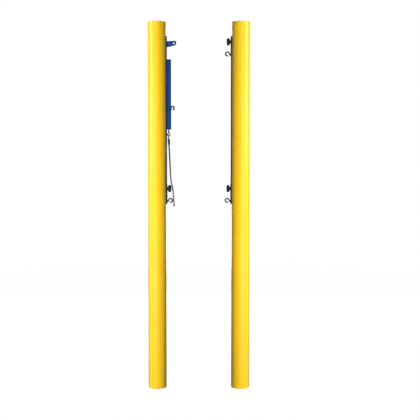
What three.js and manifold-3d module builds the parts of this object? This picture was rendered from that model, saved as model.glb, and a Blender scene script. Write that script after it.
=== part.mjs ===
// A pair of volleyball net posts with their net fittings.
//
// The tension post stands at -X and the anchor post at +X, with their fitting sides facing each
// other. +Z is up, the floor is z = 0, and all sizes are in millimetres. Each post is drawn in a
// frame of its own: its axis is the Z axis and its fittings are on its +X side.

import * as THREE from 'three';
import { mergeVertices } from 'three/addons/utils/BufferGeometryUtils.js';
import Module from 'manifold-3d';

const wasm = await Module();
wasm.setup();

// ---------------------------------------------------------------- driving dimensions

const GAP = 0.3; // running clearance between neighbouring pieces
const PAST = 30; // how far a drill runs past what it cuts

const POST = { height: 2800, radius: 70, wall: 4, spacing: 640 };
const CAP = { rim: 4, edge: 2, spigotDepth: 25, spigotWall: 5 };

// The C rail on the fitting side of each post. Its x values are distances from the post's axis.
const RAIL = {
  bottom: 1419,
  top: 2693,
  halfWidth: 17,
  face: 77,
  cavityBack: 72.1,
  cavityFront: 75.2,
  cavityHalf: 12.5,
  mouthHalf: 6.5,
  stopHeight: 5.7,
};
const NUT_FRONT = RAIL.cavityFront - GAP;
const NUT_BACK = RAIL.cavityBack + GAP;
const ON_RAIL = RAIL.face + GAP; // where a piece that lies on the rail begins

// Clamped sliders: a plate on the rail, a nut bar inside it, a star knob and a pigtail hook.
const SLIDER = { halfWidth: 15, thickness: 2.5, above: 35, below: 110, corner: 5 };
const STUD = { radius: 5, end: 100 };
const WASHER = { radius: 12, thickness: 1.5 };
const KNOB = { start: 81.9, headStart: 84.5, end: 109, radius: 28, hubRadius: 12, lobes: 7, lobeDepth: 2.4, edge: 8 };
const HOOK = { drop: 91, centre: 103, radius: 14.5, wire: 10, rootDrop: 6, collarRadius: 8.5, collar: 4 };
const ANCHOR_UPPER_KNOB = 2652;
const LOWER_KNOB = 1539;

// Cable guide at the top of the tension post.
const GUIDE = { wall: 4, halfInside: 8.5, bottom: 2612, top: 2655, tip: 147.5, holes: [2620, 2648] };
const SHEAVE = { x: 129.5, z: 2639, radius: 15.5, groove: 10.5, halfWidth: 7, axle: 7, axleBore: 5 };
const GUARD = { x: 97, z: 2638, radius: 3 };

// Tensioner: a closed housing with a sprung carriage that carries the cable hook.
const HOUSING = { back: ON_RAIL, front: 109, halfWidth: 20, wall: 2.5, corner: 15, bottom: 1988, top: 2519 };
const HOUSING_CAP = { plate: 2.7, plug: 10, boss: 14, bossRadius: 6.2 };
const SLOT = { halfWidth: 6, bottom: 2030, top: 2173 };
const CARRIAGE = { bottom: 2116, top: 2186, tongueBottom: 2140, tongueTop: 2163, tongueBack: 95 };
const CABLE_HOOK = { bottom: 2134, top: 2169, thickness: 10, legs: [109.4, 113.2, 122.9, 135.8], bow: 8.5 };
const CROSS_PIN = { x: 100.5, z: 2151.5, radius: 3 };
const HOUSING_SCREWS = [2007, 2404];
const SCREW = { radius: 2.5, head: 4.25, headHeight: 3 };
const SPRING = { x: 93, coil: 8.6, wire: 2.4, turns: 12, bottom: 2187.6, top: 2504.5 };

// Pull rod, quick link and hand rope below the housing.
const ROD = { x: 90, radius: 5, top: 2134, eyeCentre: 1951, eyeRadius: 9.5, eyeWire: 7 };
const LINK = { wire: 5, halfWidth: 7, length: 26, lean: THREE.MathUtils.degToRad(7.5) };
const SOCKET = { lug: 7, lugHole: 4, play: 1.4, lugHalf: 3, sleeve: 9, sleeveTop: 9, bottom: 46.8, lean: THREE.MathUtils.degToRad(2.7) };
const ROPE = { radius: 5.5, sides: 10, steps: 30 };
const CRIMP = { bore: 6.1, radius: 7.3 };
const LINK_TOP = ROD.eyeWire / 2 + GAP + LINK.wire / 2;
const LINK_BOTTOM = LINK_TOP - LINK.length;
const ROPE_END = { radius: 6.6, length: 15 };

// The hand rope's centre line from the socket to its free end. It hangs beside the lower knob.
const ROPE_ROUTE = [
  [92.3, -9.2, 1875.2],
  [93.5, -12.5, 1851],
  [94.9, -16.2, 1826],
  [96.5, -20.6, 1796],
  [98.1, -25.1, 1766],
  [99.4, -29.1, 1741],
  [100.6, -32.5, 1716],
  [101.9, -34.8, 1691],
  [103.4, -36.0, 1661],
  [105.0, -36.4, 1631],
  [106.8, -36.4, 1606],
  [109.2, -36.4, 1587],
  [112.4, -36.4, 1573],
  [117.0, -36.4, 1552],
  [121.6, -36.4, 1531],
  [123.6, -36.4, 1517],
  [124.6, -36.4, 1497],
  [125.9, -36.4, 1476],
  [127.5, -36.4, 1454],
  [129.1, -36.4, 1434],
  [130.0, -36.4, 1421],
].map(([x, y, z]) => new THREE.Vector3(x, y, z));
const CRIMP_TOP = new THREE.Vector3(112.7, -36.4, 1571.6);
const CRIMP_BOTTOM = new THREE.Vector3(121.3, -36.4, 1532.4);

// ---------------------------------------------------------------- materials

const finish = (color, roughness, metalness) => new THREE.MeshStandardMaterial({ color, roughness, metalness });
const yellowPaint = finish(0xf6c51c, 0.35, 0);
const yellowPlastic = finish(0xf2bd18, 0.45, 0);
const bluePaint = finish(0x0c4a9c, 0.35, 0);
const railPaint = finish(0x1d2f63, 0.4, 0);
const zincSteel = finish(0x9aa39c, 0.4, 1);
const darkSteel = finish(0x1b2440, 0.4, 0.6);
const springSteel = finish(0x70757a, 0.35, 1);
const blackPlastic = finish(0x131313, 0.5, 0);
const greyNylon = finish(0xb9bcb8, 0.5, 0);
const ropeFibre = finish(0x8a8271, 0.9, 0);

// ---------------------------------------------------------------- helpers

const X = new THREE.Vector3(1, 0, 0);
const Y = new THREE.Vector3(0, 1, 0);
const Z = new THREE.Vector3(0, 0, 1);

function part(name, geometry, material) {
  const mesh = new THREE.Mesh(geometry, material);
  mesh.name = name;
  return mesh;
}

// A closed manifold of a geometry, without the triangles that collapse on a lathe's axis.
function toSolid(geometry) {
  const bare = new THREE.BufferGeometry();
  bare.setAttribute('position', geometry.getAttribute('position').clone());
  bare.setIndex(geometry.getIndex());
  const merged = mergeVertices(bare, 1e-4);
  const index = merged.getIndex().array;
  const triangles = [];
  for (let i = 0; i < index.length; i += 3) {
    const [a, b, c] = [index[i], index[i + 1], index[i + 2]];
    if (a !== b && b !== c && c !== a) triangles.push(a, b, c);
  }
  const vertProperties = new Float32Array(merged.getAttribute('position').array);
  const mesh = new wasm.Mesh({ numProp: 3, vertProperties, triVerts: new Uint32Array(triangles) });
  const solid = new wasm.Manifold(mesh);
  if (solid.volume() > 0) return solid;
  for (let i = 0; i < triangles.length; i += 3) {
    [triangles[i + 1], triangles[i + 2]] = [triangles[i + 2], triangles[i + 1]];
  }
  return new wasm.Manifold(new wasm.Mesh({ numProp: 3, vertProperties, triVerts: new Uint32Array(triangles) }));
}

function toGeometry(solid) {
  const mesh = solid.getMesh();
  const geometry = new THREE.BufferGeometry();
  geometry.setAttribute('position', new THREE.BufferAttribute(mesh.vertProperties, 3));
  geometry.setIndex(new THREE.BufferAttribute(mesh.triVerts, 1));
  geometry.computeVertexNormals();
  return geometry;
}

function cut(base, ...tools) {
  return toGeometry(tools.reduce((solid, tool) => solid.subtract(toSolid(tool)), toSolid(base)));
}

function join(base, ...others) {
  return toGeometry(others.reduce((solid, other) => solid.add(toSolid(other)), toSolid(base)));
}

// A body turned about a line through `at` along `direction`, from [radius, distance along] pairs.
function turned(profile, at, direction = Z, segments = 32) {
  const points = profile.map(([radius, along]) => new THREE.Vector2(radius, along));
  const geometry = new THREE.LatheGeometry(points, segments);
  geometry.applyQuaternion(new THREE.Quaternion().setFromUnitVectors(Y, direction));
  geometry.translate(at.x, at.y, at.z);
  return toGeometry(toSolid(geometry));
}

const rod = (radius, start, end, at, direction, segments = 20) =>
  turned([[0, start], [radius, start], [radius, end], [0, end]], at, direction, segments);

const ring = (inner, outer, start, end, at, direction, segments = 20) =>
  turned([[inner, start], [outer, start], [outer, end], [inner, end], [inner, start]], at, direction, segments);

function block([x0, x1], [y0, y1], [z0, z1]) {
  const geometry = new THREE.BoxGeometry(x1 - x0, y1 - y0, z1 - z0);
  return geometry.translate((x0 + x1) / 2, (y0 + y1) / 2, (z0 + z1) / 2);
}

function outline(points) {
  return new THREE.Shape(points.map(([a, b]) => new THREE.Vector2(a, b)));
}

function roundedRectangle(a0, a1, b0, b1, radius) {
  const shape = new THREE.Shape();
  shape.absarc(a1 - radius, b1 - radius, radius, 0, Math.PI / 2);
  shape.absarc(a0 + radius, b1 - radius, radius, Math.PI / 2, Math.PI);
  shape.absarc(a0 + radius, b0 + radius, radius, Math.PI, Math.PI * 1.5);
  shape.absarc(a1 - radius, b0 + radius, radius, Math.PI * 1.5, Math.PI * 2);
  shape.closePath();
  return shape;
}

const flatExtrude = (shape, depth) =>
  new THREE.ExtrudeGeometry(shape, { depth, bevelEnabled: false, curveSegments: 4 });

// An outline in the X-Y plane raised from z0 to z1.
const raised = (shape, z0, z1) => flatExtrude(shape, z1 - z0).translate(0, 0, z0);

// An outline in the X-Z plane made a plate centred on y.
const plateXZ = (shape, thickness, y = 0) =>
  flatExtrude(shape, thickness).rotateX(Math.PI / 2).translate(0, y + thickness / 2, 0);

// An outline in the Y-Z plane made a plate from x0 to x1.
const plateYZ = (shape, x0, x1) =>
  flatExtrude(shape, x1 - x0).applyMatrix4(new THREE.Matrix4().makeBasis(Y, Z, X)).translate(x0, 0, 0);

function polygon(radius, sides) {
  const corners = Array.from({ length: sides }, (_, i) => (i / sides) * Math.PI * 2);
  return outline(corners.map((angle) => [radius * Math.cos(angle), radius * Math.sin(angle)]));
}

const wireAlong = (curve, radius, sides, steps) =>
  new THREE.ExtrudeGeometry(polygon(radius, sides), { extrudePath: curve, steps });

// ---------------------------------------------------------------- post tube, caps and rail

function postTube(name) {
  const at = new THREE.Vector3();
  const inner = POST.radius - POST.wall;
  return part(name, ring(inner, POST.radius, CAP.rim + GAP, POST.height - CAP.rim - GAP, at, Z, 48), yellowPaint);
}

// A push-in end cap: a rim as wide as the tube and a hollow spigot inside it.
function endCap(name, atTop) {
  const spigot = POST.radius - POST.wall - GAP;
  const profile = [
    [0, 0],
    [spigot - CAP.spigotWall, 0],
    [spigot - CAP.spigotWall, -CAP.spigotDepth],
    [spigot, -CAP.spigotDepth],
    [spigot, 0],
    [POST.radius, 0],
    [POST.radius, CAP.rim - CAP.edge],
    [POST.radius - CAP.edge, CAP.rim],
    [0, CAP.rim],
  ];
  const foot = new THREE.Vector3(0, 0, atTop ? POST.height - CAP.rim : CAP.rim);
  const outward = new THREE.Vector3(0, 0, atTop ? 1 : -1);
  return part(name, turned(profile, foot, outward, 36), yellowPlastic);
}

// The rail's back is hollowed to sit on the tube; its mouth faces away from the post.
function rail(name) {
  const seat = POST.radius + GAP;
  const seatAngle = Math.asin(RAIL.halfWidth / seat);
  const shape = outline([
    [RAIL.face, -RAIL.halfWidth],
    [RAIL.face, -RAIL.mouthHalf],
    [RAIL.cavityFront, -RAIL.mouthHalf],
    [RAIL.cavityFront, -RAIL.cavityHalf],
    [RAIL.cavityBack, -RAIL.cavityHalf],
    [RAIL.cavityBack, RAIL.cavityHalf],
    [RAIL.cavityFront, RAIL.cavityHalf],
    [RAIL.cavityFront, RAIL.mouthHalf],
    [RAIL.face, RAIL.mouthHalf],
    [RAIL.face, RAIL.halfWidth],
  ]);
  shape.absarc(0, 0, seat, seatAngle, -seatAngle, true);
  return part(name, raised(shape, RAIL.bottom, RAIL.top), railPaint);
}

// A plug that fills the rail's cavity and mouth at one end and stops the sliders.
function railStop(name, z0, z1) {
  const cavity = RAIL.cavityHalf - GAP;
  const mouth = RAIL.mouthHalf - GAP;
  const shape = outline([
    [NUT_BACK, -cavity],
    [NUT_FRONT, -cavity],
    [NUT_FRONT, -mouth],
    [RAIL.face - GAP, -mouth],
    [RAIL.face - GAP, mouth],
    [NUT_FRONT, mouth],
    [NUT_FRONT, cavity],
    [NUT_BACK, cavity],
  ]);
  return part(name, raised(shape, z0, z1), blackPlastic);
}

function postWithRail(post) {
  const group = new THREE.Group();
  group.add(
    postTube(`${post}_tube`),
    endCap(`${post}_top_cap`, true),
    endCap(`${post}_base_cap`, false),
    rail(`${post}_rail`),
    railStop(`${post}_rail_stop_lower`, RAIL.bottom, LOWER_KNOB - SLIDER.below - GAP),
    railStop(`${post}_rail_stop_upper`, RAIL.top - RAIL.stopHeight, RAIL.top),
  );
  return group;
}

// ---------------------------------------------------------------- sliders

const onRail = (z) => new THREE.Vector3(0, 0, z);

function sliderPlate(name, knobZ) {
  const bottom = knobZ - SLIDER.below;
  const shape = roundedRectangle(-SLIDER.halfWidth, SLIDER.halfWidth, bottom, knobZ + SLIDER.above, SLIDER.corner);
  const plate = plateYZ(shape, ON_RAIL, ON_RAIL + SLIDER.thickness);
  const studHole = rod(STUD.radius + GAP, RAIL.face - 1, RAIL.face + 6, onRail(knobZ), X);
  const hookHole = rod(HOOK.wire / 2 + GAP, RAIL.face - 1, RAIL.face + 6, onRail(knobZ - HOOK.drop - HOOK.rootDrop), X);
  return part(name, cut(plate, studHole, hookHole), zincSteel);
}

function clampNut(name, knobZ) {
  const half = RAIL.cavityHalf - GAP;
  const bar = block([NUT_BACK, NUT_FRONT], [-half, half], [knobZ - SLIDER.below, knobZ + SLIDER.above]);
  return part(name, join(bar, rod(STUD.radius, NUT_BACK + 1, STUD.end, onRail(knobZ), X)), zincSteel);
}

function washer(name, knobZ) {
  const start = ON_RAIL + SLIDER.thickness + GAP;
  const geometry = ring(STUD.radius + GAP, WASHER.radius, start, start + WASHER.thickness, onRail(knobZ), X);
  return part(name, geometry, zincSteel);
}

// A lobed head with rounded edges on a round hub, bored for the stud.
function starKnob(name, knobZ) {
  const shape = new THREE.Shape();
  const rim = KNOB.radius - KNOB.edge;
  const count = KNOB.lobes * 5;
  for (let i = 0; i < count; i += 1) {
    const angle = (i / count) * Math.PI * 2;
    const radius = rim - KNOB.lobeDepth * (1 - Math.cos(KNOB.lobes * angle)) / 2;
    const point = [radius * Math.cos(angle), radius * Math.sin(angle)];
    if (i === 0) shape.moveTo(...point);
    else shape.lineTo(...point);
  }
  shape.closePath();
  const depth = KNOB.end - KNOB.headStart - 2 * KNOB.edge;
  const head = new THREE.ExtrudeGeometry(shape, {
    depth,
    bevelThickness: KNOB.edge,
    bevelSize: KNOB.edge,
    bevelSegments: 3,
    curveSegments: 1,
  });
  head.applyMatrix4(new THREE.Matrix4().makeBasis(Y, Z, X));
  head.translate(KNOB.headStart + KNOB.edge, 0, knobZ);
  const hub = rod(KNOB.hubRadius, KNOB.start, KNOB.headStart + KNOB.edge, onRail(knobZ), X);
  const bore = rod(STUD.radius + GAP, KNOB.start - 1, STUD.end + GAP, onRail(knobZ), X);
  return part(name, toGeometry(toSolid(head).add(toSolid(hub)).subtract(toSolid(bore))), blackPlastic);
}

// A pigtail hook: a stub through the slider's plate, a rising stem and three quarters of a loop.
function pigtailHook(name, knobZ) {
  const centre = new THREE.Vector3(HOOK.centre, 0, knobZ - HOOK.drop);
  const rootZ = centre.z - HOOK.rootDrop;
  const points = [
    new THREE.Vector3(RAIL.face - 1, 0, rootZ),
    new THREE.Vector3(ON_RAIL + 2, 0, rootZ),
    new THREE.Vector3(ON_RAIL + 6, 0, rootZ + 0.8),
  ];
  for (let degrees = 150; degrees >= -140; degrees -= 14.5) {
    const angle = THREE.MathUtils.degToRad(degrees);
    const away = new THREE.Vector3(Math.cos(angle), 0, Math.sin(angle)).multiplyScalar(HOOK.radius);
    points.push(centre.clone().add(away));
  }
  const curve = new THREE.CatmullRomCurve3(points, false, 'centripetal');
  const wire = wireAlong(curve, HOOK.wire / 2, 8, 30);
  const start = ON_RAIL + SLIDER.thickness + GAP;
  const collar = rod(HOOK.collarRadius, start, start + HOOK.collar, new THREE.Vector3(0, 0, rootZ), X, 6);
  return part(name, join(collar, wire), darkSteel);
}

function slider(prefix, knobZ) {
  const group = new THREE.Group();
  group.add(
    sliderPlate(`${prefix}_plate`, knobZ),
    clampNut(`${prefix}_clamp_nut`, knobZ),
    washer(`${prefix}_washer`, knobZ),
    starKnob(`${prefix}_knob`, knobZ),
    pigtailHook(`${prefix}_hook`, knobZ),
  );
  return group;
}

// ---------------------------------------------------------------- fixings in the rail

function railNut(name, z0, z1, holes) {
  const half = RAIL.cavityHalf - GAP;
  const bar = block([NUT_BACK, NUT_FRONT], [-half, half], [z0, z1]);
  const bores = holes.map((z) => rod(SCREW.radius + GAP, NUT_BACK - 1, NUT_FRONT + 1, onRail(z), X));
  return part(name, cut(bar, ...bores), zincSteel);
}

// A pan head screw whose head bears on a wall that ends at x = seat.
function railScrew(name, seat, z) {
  const head = seat + GAP;
  const profile = [
    [0, NUT_BACK + 0.2],
    [SCREW.radius, NUT_BACK + 0.2],
    [SCREW.radius, head],
    [SCREW.head, head],
    [SCREW.head, head + SCREW.headHeight - 1],
    [SCREW.head - 1, head + SCREW.headHeight],
    [0, head + SCREW.headHeight],
  ];
  return part(name, turned(profile, onRail(z), X, 16), zincSteel);
}

// ---------------------------------------------------------------- cable guide

function guideCheek(y) {
  const shape = new THREE.Shape();
  shape.moveTo(ON_RAIL, GUIDE.bottom);
  shape.lineTo(GUIDE.tip - 11, GUIDE.bottom + 13);
  shape.quadraticCurveTo(GUIDE.tip - 1, GUIDE.bottom + 15.5, GUIDE.tip, GUIDE.bottom + 25);
  shape.lineTo(GUIDE.tip, GUIDE.top - 4);
  shape.quadraticCurveTo(GUIDE.tip, GUIDE.top + 4.2, GUIDE.tip - 9, GUIDE.top + 4);
  shape.lineTo(ON_RAIL, GUIDE.top);
  shape.closePath();
  return plateXZ(shape, GUIDE.wall, y);
}

function guideBracket(name) {
  const cheekY = GUIDE.halfInside + GUIDE.wall / 2;
  const outside = GUIDE.halfInside + GUIDE.wall;
  const back = roundedRectangle(-outside - 4, outside + 4, GUIDE.bottom - 1, GUIDE.top + 1, 4);
  const axleAt = new THREE.Vector3(SHEAVE.x, 0, SHEAVE.z);
  const guardAt = new THREE.Vector3(GUARD.x, 0, GUARD.z);
  let solid = toSolid(plateYZ(back, ON_RAIL, ON_RAIL + GUIDE.wall));
  for (const y of [-cheekY, cheekY]) solid = solid.add(toSolid(guideCheek(y)));
  solid = solid.subtract(toSolid(rod(SHEAVE.axle + GAP, -PAST, PAST, axleAt, Y)));
  solid = solid.subtract(toSolid(rod(GUARD.radius + GAP, -PAST, PAST, guardAt, Y)));
  for (const z of GUIDE.holes) {
    solid = solid.subtract(toSolid(rod(SCREW.radius + GAP, RAIL.face - 1, ON_RAIL + GUIDE.wall + 1, onRail(z), X)));
  }
  return part(name, toGeometry(solid), bluePaint);
}

function sheave(name) {
  const { halfWidth, radius, groove, axle } = SHEAVE;
  const profile = [
    [axle + GAP, -halfWidth],
    [radius, -halfWidth],
    [radius, -halfWidth + 1.6],
    [groove + 1, -2],
    [groove, 0],
    [groove + 1, 2],
    [radius, halfWidth - 1.6],
    [radius, halfWidth],
    [axle + GAP, halfWidth],
    [axle + GAP, -halfWidth],
  ];
  return part(name, turned(profile, new THREE.Vector3(SHEAVE.x, 0, SHEAVE.z), Y, 28), greyNylon);
}

// A pin across the guide, riveted over both cheeks; the sheave's axle is hollow.
function crossPin(name, at, radius, headRadius, bore) {
  const face = GUIDE.halfInside + GUIDE.wall + GAP;
  const end = face + 2;
  const profile = [
    [bore, -end],
    [headRadius, -end],
    [headRadius, -face],
    [radius, -face],
    [radius, face],
    [headRadius, face],
    [headRadius, end],
    [bore, end],
  ];
  if (bore > 0) profile.push([bore, -end]);
  return part(name, turned(profile, at, Y, 20), zincSteel);
}

function cableGuide() {
  const group = new THREE.Group();
  group.add(
    guideBracket('cable_guide_bracket'),
    railNut('cable_guide_nut', GUIDE.bottom, GUIDE.top, GUIDE.holes),
    railScrew('cable_guide_screw_lower', ON_RAIL + GUIDE.wall, GUIDE.holes[0]),
    railScrew('cable_guide_screw_upper', ON_RAIL + GUIDE.wall, GUIDE.holes[1]),
    sheave('cable_sheave'),
    crossPin('sheave_axle', new THREE.Vector3(SHEAVE.x, 0, SHEAVE.z), SHEAVE.axle, SHEAVE.axle + 2, SHEAVE.axleBore),
    crossPin('cable_guard_rivet', new THREE.Vector3(GUARD.x, 0, GUARD.z), GUARD.radius, GUARD.radius + 2.5, 0),
  );
  return group;
}

// ---------------------------------------------------------------- tensioner housing

// The housing's outline shrunk by an inset: a rectangle whose corners are rounded until it is nearly oval.
function housingOutline(inset) {
  const half = HOUSING.halfWidth - inset;
  return roundedRectangle(HOUSING.back + inset, HOUSING.front - inset, -half, half, HOUSING.corner - inset);
}

const CAP_SEAT = HOUSING_CAP.plate + GAP;

function housingShell(name) {
  const bottom = HOUSING.bottom + CAP_SEAT;
  const top = HOUSING.top - CAP_SEAT;
  const shell = raised(housingOutline(0), bottom, top);
  const hollow = raised(housingOutline(HOUSING.wall), bottom - 5, top + 5);
  const wall = [HOUSING.front - HOUSING.wall - 2, HOUSING.front + 2];
  const slot = block(wall, [-SLOT.halfWidth, SLOT.halfWidth], [SLOT.bottom, SLOT.top]);
  const screwHoles = HOUSING_SCREWS.map((z) =>
    rod(SCREW.radius + GAP, HOUSING.back - 1, HOUSING.back + HOUSING.wall + 1, onRail(z), X));
  return part(name, cut(shell, hollow, slot, ...screwHoles), bluePaint);
}

function housingTopCap(name) {
  const plugTop = HOUSING.top - HOUSING_CAP.plate;
  const plugBottom = plugTop - HOUSING_CAP.plug;
  const bossAt = new THREE.Vector3(SPRING.x, 0, 0);
  const plate = raised(housingOutline(0), plugTop, HOUSING.top);
  const plug = raised(housingOutline(HOUSING.wall + GAP), plugBottom, plugTop + 1);
  const boss = rod(HOUSING_CAP.bossRadius, plugBottom - HOUSING_CAP.boss, plugBottom + 1, bossAt, Z);
  return part(name, join(plate, plug, boss), bluePaint);
}

function housingBottomCap(name) {
  const plugBottom = HOUSING.bottom + HOUSING_CAP.plate;
  const plate = raised(housingOutline(0), HOUSING.bottom, plugBottom);
  const plug = raised(housingOutline(HOUSING.wall + GAP), plugBottom - 1, plugBottom + HOUSING_CAP.plug);
  const bore = rod(ROD.radius + 2 * GAP, HOUSING.bottom - PAST, plugBottom + PAST, new THREE.Vector3(ROD.x, 0, 0), Z);
  return part(name, cut(join(plate, plug), bore), bluePaint);
}

// The carriage block: bored for the pull rod, pocketed for the hook's tongue, with a spring boss.
function carriageBlock(name) {
  const inset = HOUSING.wall + 0.4;
  const body = raised(housingOutline(inset), CARRIAGE.bottom, CARRIAGE.top);
  const boss = rod(HOUSING_CAP.bossRadius, CARRIAGE.top - 1, CARRIAGE.top + HOUSING_CAP.boss, new THREE.Vector3(SPRING.x, 0, 0), Z);
  const half = CABLE_HOOK.thickness / 2 + GAP;
  const heights = [CARRIAGE.tongueBottom - GAP, CARRIAGE.tongueTop + GAP];
  const pocket = block([CARRIAGE.tongueBack - GAP, HOUSING.front], [-half, half], heights);
  const rodAt = new THREE.Vector3(ROD.x, 0, 0);
  const rodHole = rod(ROD.radius + GAP, CARRIAGE.bottom - 1, ROD.top + GAP, rodAt, Z);
  const pinAt = new THREE.Vector3(CROSS_PIN.x, 0, CROSS_PIN.z);
  const pinHole = rod(CROSS_PIN.radius + GAP, -PAST, PAST, pinAt, Y);
  return part(name, cut(join(body, boss), pocket, rodHole, pinHole), greyNylon);
}

// The cable hook is cut from plate: a tongue through the slot and a bow that opens downwards.
function carriageHook(name) {
  const { bottom, top, thickness, bow, legs } = CABLE_HOOK;
  const [inner, innerFace, outerFace, outer] = legs;
  const shape = new THREE.Shape();
  shape.moveTo(inner, bottom);
  shape.lineTo(innerFace, bottom);
  shape.lineTo(innerFace, top - bow - 3);
  shape.quadraticCurveTo(innerFace + 0.5, top - bow, innerFace + 4, top - bow);
  shape.lineTo(outerFace - 4, top - bow);
  shape.quadraticCurveTo(outerFace, top - bow, outerFace, top - bow - 4);
  shape.lineTo(outerFace, bottom + 4);
  shape.quadraticCurveTo(outerFace, bottom, outerFace + 4, bottom);
  shape.lineTo(outer - 5, bottom);
  shape.quadraticCurveTo(outer, bottom, outer, bottom + 5);
  shape.lineTo(outer, top - 9);
  shape.quadraticCurveTo(outer - 0.5, top, outer - 10, top);
  shape.lineTo(inner, top);
  shape.closePath();
  const tongue = block([CARRIAGE.tongueBack, inner + 1], [-thickness / 2, thickness / 2],
    [CARRIAGE.tongueBottom, CARRIAGE.tongueTop]);
  const pinAt = new THREE.Vector3(CROSS_PIN.x, 0, CROSS_PIN.z);
  const pinHole = rod(CROSS_PIN.radius + GAP, -PAST, PAST, pinAt, Y);
  return part(name, cut(join(plateXZ(shape, thickness), tongue), pinHole), zincSteel);
}

function carriagePin(name) {
  const half = HOUSING.halfWidth - HOUSING.wall - 5;
  const at = new THREE.Vector3(CROSS_PIN.x, 0, CROSS_PIN.z);
  return part(name, rod(CROSS_PIN.radius, -half, half, at, Y), springSteel);
}

class Helix extends THREE.Curve {
  constructor(centreX, radius, z0, z1, turns) {
    super();
    Object.assign(this, { centreX, radius, z0, z1, turns });
  }

  getPoint(t, target = new THREE.Vector3()) {
    const angle = t * this.turns * Math.PI * 2;
    const z = this.z0 + (this.z1 - this.z0) * t;
    return target.set(this.centreX + this.radius * Math.cos(angle), this.radius * Math.sin(angle), z);
  }
}

function returnSpring(name) {
  const half = SPRING.wire / 2;
  const curve = new Helix(SPRING.x, SPRING.coil, SPRING.bottom + half, SPRING.top - half, SPRING.turns);
  return part(name, wireAlong(curve, half, 5, SPRING.turns * 8), springSteel);
}

// ---------------------------------------------------------------- pull rod, link and rope

function pullRod(name) {
  const at = new THREE.Vector3(ROD.x, 0, 0);
  const shank = rod(ROD.radius, ROD.eyeCentre + ROD.eyeRadius - 1, ROD.top, at, Z, 20);
  const eye = new THREE.TorusGeometry(ROD.eyeRadius, ROD.eyeWire / 2, 8, 24);
  eye.rotateX(Math.PI / 2);
  eye.translate(ROD.x, 0, ROD.eyeCentre);
  return part(name, join(shank, eye), zincSteel);
}

// Half a ring of the link, above (side = 1) or below (side = -1) its straight sides.
function linkBow(middle, straight, side) {
  const points = Array.from({ length: 9 }, (_, i) => {
    const angle = (i / 8) * Math.PI;
    const y = LINK.halfWidth * Math.cos(angle);
    return new THREE.Vector3(0, y, middle + side * (straight + LINK.halfWidth * Math.sin(angle)));
  });
  return wireAlong(new THREE.CatmullRomCurve3(points), LINK.wire / 2, 8, 12);
}

// An oval link in the plane x = 0, hanging from the eye's wire, which passes through the origin.
function quickLink(name) {
  const straight = LINK.length / 2 - LINK.halfWidth;
  const middle = LINK_TOP - LINK.length / 2;
  const sides = [-1, 1].map((side) =>
    rod(LINK.wire / 2, middle - straight - 0.5, middle + straight + 0.5,
      new THREE.Vector3(0, side * LINK.halfWidth, 0), Z, 8));
  const nut = rod(LINK.wire / 2 + 2, middle - 4, middle + 4, new THREE.Vector3(0, LINK.halfWidth, 0), Z, 6);
  return part(name, join(linkBow(middle, straight, 1), linkBow(middle, straight, -1), ...sides, nut), zincSteel);
}

// The rope's end socket hangs from the link's lower bow, which passes through the origin.
function ropeSocket(name) {
  const lugCentre = LINK.wire / 2 + SOCKET.play - SOCKET.lugHole;
  const lug = rod(SOCKET.lug, -SOCKET.lugHalf, SOCKET.lugHalf, new THREE.Vector3(0, 0, lugCentre), Y);
  const neck = block([-SOCKET.lug, SOCKET.lug], [-SOCKET.lugHalf, SOCKET.lugHalf], [-SOCKET.sleeveTop - 2, lugCentre]);
  const sleeve = turned([
    [0, -SOCKET.bottom],
    [SOCKET.sleeve - 1.5, -SOCKET.bottom],
    [SOCKET.sleeve, -SOCKET.bottom + 2],
    [SOCKET.sleeve, -SOCKET.sleeveTop - 4],
    [SOCKET.sleeve - 3, -SOCKET.sleeveTop],
    [0, -SOCKET.sleeveTop],
  ], new THREE.Vector3(), Z, 24);
  const hole = rod(SOCKET.lugHole, -PAST, PAST, new THREE.Vector3(0, 0, lugCentre), Y, 16);
  return part(name, cut(join(lug, neck, sleeve), hole), zincSteel);
}

function handRope(name) {
  const curve = new THREE.CatmullRomCurve3(ROPE_ROUTE, false, 'centripetal');
  return part(name, wireAlong(curve, ROPE.radius, ROPE.sides, ROPE.steps), ropeFibre);
}

// A crimped sleeve round the straight stretch of rope in front of the lower knob.
function ropeCrimp(name) {
  const along = CRIMP_BOTTOM.clone().sub(CRIMP_TOP);
  const length = along.length();
  const geometry = ring(CRIMP.bore, CRIMP.radius, 0, length, CRIMP_TOP, along.normalize(), 20);
  return part(name, geometry, zincSteel);
}

function ropeEnd(name) {
  const last = ROPE_ROUTE.at(-1);
  const along = last.clone().sub(ROPE_ROUTE.at(-2)).normalize();
  const start = last.clone().addScaledVector(along, GAP);
  const { radius, length } = ROPE_END;
  const profile = [[0, 0], [radius - 0.8, 0], [radius, 1], [radius, length - 2], [radius - 1.5, length], [0, length]];
  return part(name, turned(profile, start, along, 20), blackPlastic);
}

// The link leans with the rope about X, and the socket leans on the link about Y.
function rodTackle() {
  const link = new THREE.Group();
  link.position.set(ROD.x, 0, ROD.eyeCentre - ROD.eyeRadius);
  link.rotation.x = -LINK.lean;
  const socket = new THREE.Group();
  socket.position.set(0, 0, LINK_BOTTOM);
  socket.rotation.y = -SOCKET.lean;
  socket.add(ropeSocket('rope_socket'));
  link.add(quickLink('quick_link'), socket);
  return link;
}

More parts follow.
